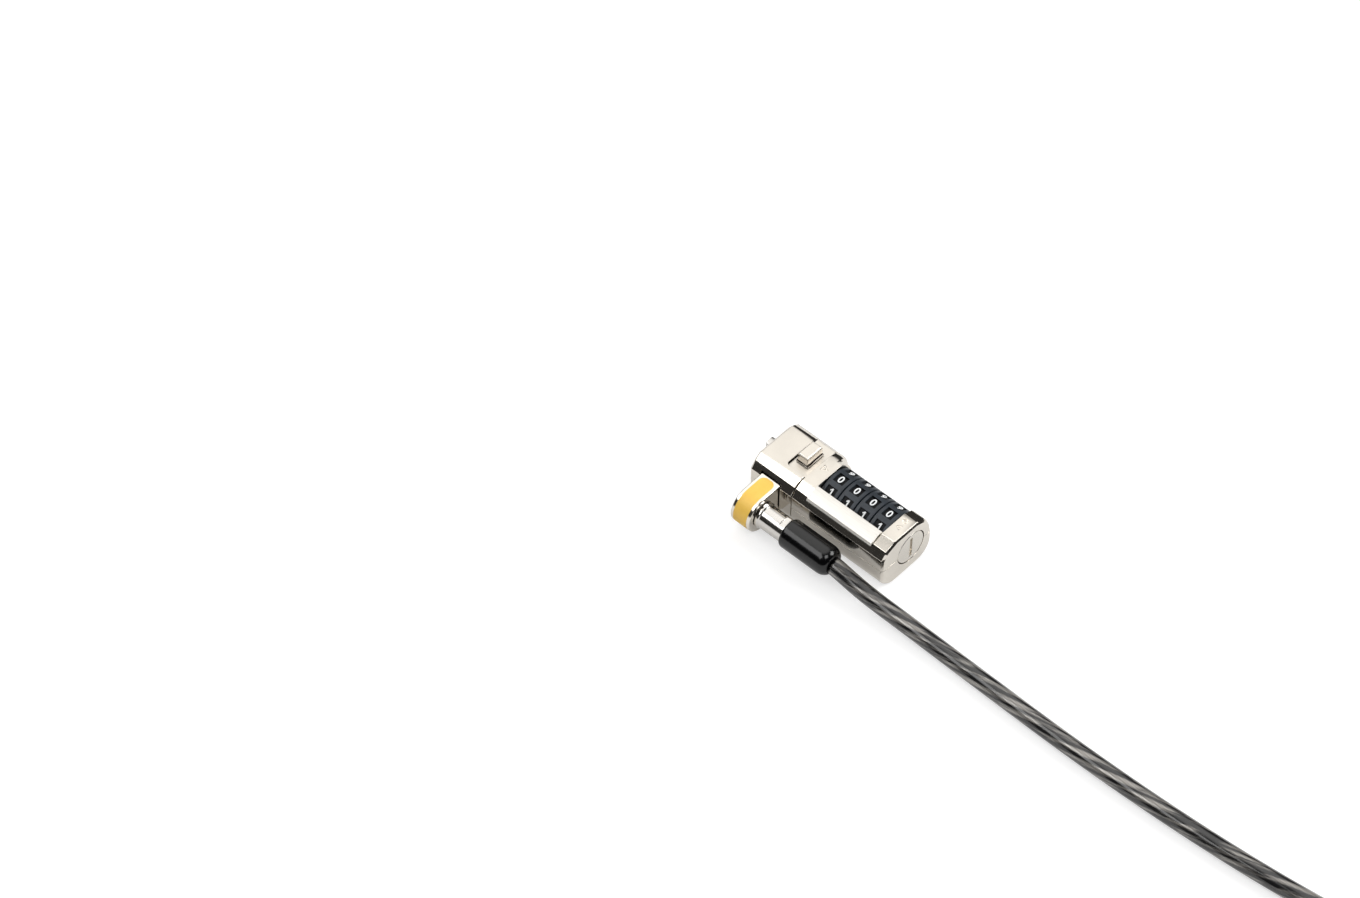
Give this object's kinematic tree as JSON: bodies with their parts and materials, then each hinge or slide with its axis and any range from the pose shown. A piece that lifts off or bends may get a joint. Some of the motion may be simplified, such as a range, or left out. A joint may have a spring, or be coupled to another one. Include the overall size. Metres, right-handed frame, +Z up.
{
  "type": "laptop cable lock",
  "caption": "Plated laptop security lock with number dials, a sliding button that turns a T-bar, and a black sheathed cable on a swivelling side collar.",
  "frame": {"origin": "middle of the flat underside of the lock's body, on the table", "axes": "+X along the body from its nose, which meets the laptop, to its slotted end; +Y away from the cable's side; +Z up, out of the flat top"},
  "size_m": [0.3294, 0.0667, 0.0313],
  "materials": {
    "nickel": "satin to bright nickel plating",
    "bright_plate": "bright",
    "steel": "turned",
    "spring_steel": "rolled",
    "brass": "machined",
    "dial": "moulded",
    "yellow": "moulded",
    "boot": "glossy",
    "sheath": "clear smoke-grey over steel strands",
    "tie": "woven"
  },
  "bodies": {
    "cable": {"cable_ferrule": "steel", "ferrule_clip": "spring_steel", "cable_boot": "boot", "cable_run": "sheath", "cable_hank": "sheath", "end_sleeve": "steel", "cable_eye": "sheath", "hank_tie": "tie"},
    "collar": {"anchor_collar": "nickel", "collar_band": "yellow"},
    "housing": {"nose_block": "nickel", "nose_guard": "steel", "neck_bushing": "brass", "dial_housing": "nickel", "base_shell": "nickel", "base_pin_1": "steel", "base_pin_2": "steel", "base_pin_3": "steel", "base_pin_4": "steel", "name_plate": "bright_plate", "spindle": "steel", "fence_spring": "spring_steel", "detent_comb": "spring_steel", "reset_spring": "spring_steel"},
    "button": {"slide_button": "nickel"},
    "t_bar": {"t_bar": "steel", "crank": "steel", "drive_pin": "spring_steel"},
    "dial_one": {"dial_1": "dial", "dial_hub_1": "brass"},
    "dial_two": {"dial_2": "dial", "dial_hub_2": "brass"},
    "dial_three": {"dial_3": "dial", "dial_hub_3": "brass"},
    "dial_four": {"dial_4": "dial", "dial_hub_4": "brass"},
    "reset": {"reset_disc": "nickel"},
    "fence": {"fence_bar": "steel"}
  },
  "joints": [
    {"name": "ferrule_swivel", "type": "hinge", "parent": "cable", "child": "collar", "pos_m": [-0.023, -0.0151, 0.0068], "axis": [1, 0, 0], "continuous": true},
    {"name": "anchor_swing", "type": "hinge", "parent": "collar", "child": "housing", "pos_m": [-0.023, 0.002, 0.00815], "axis": [-1, 0, 0], "range_deg": [0, 90]},
    {"name": "button_slide", "type": "slide", "parent": "housing", "child": "button", "axis": [0, -1, 0], "range_m": [0, 0.0025]},
    {"name": "t_bar_turn", "type": "hinge", "parent": "housing", "child": "t_bar", "pos_m": [-0.029, 0.002, 0.00815], "axis": [1, 0, 0], "range_deg": [0, 90]},
    {"name": "dial_1_turn", "type": "hinge", "parent": "housing", "child": "dial_one", "pos_m": [-0.00829, 0.002, 0.00815], "axis": [1, 0, 0], "continuous": true},
    {"name": "dial_2_turn", "type": "hinge", "parent": "housing", "child": "dial_two", "pos_m": [-0.00276, 0.002, 0.00815], "axis": [1, 0, 0], "continuous": true},
    {"name": "dial_3_turn", "type": "hinge", "parent": "housing", "child": "dial_three", "pos_m": [0.00278, 0.002, 0.00815], "axis": [1, 0, 0], "continuous": true},
    {"name": "dial_4_turn", "type": "hinge", "parent": "housing", "child": "dial_four", "pos_m": [0.0083, 0.002, 0.00815], "axis": [1, 0, 0], "continuous": true},
    {"name": "reset_turn", "type": "hinge", "parent": "housing", "child": "reset", "pos_m": [0.0155, 0.002, 0.00815], "axis": [1, 0, 0], "range_deg": [0, 90]},
    {"name": "fence_drop", "type": "slide", "parent": "housing", "child": "fence", "axis": [0, 0, 1], "range_m": [0, 0.0003]}
  ],
  "couplings": [
    {"joint": "t_bar_turn", "follows": "button_slide", "rad_per_m": 628.32},
    {"joint": "fence_drop", "follows": "button_slide", "ratio": 0.12}
  ]
}
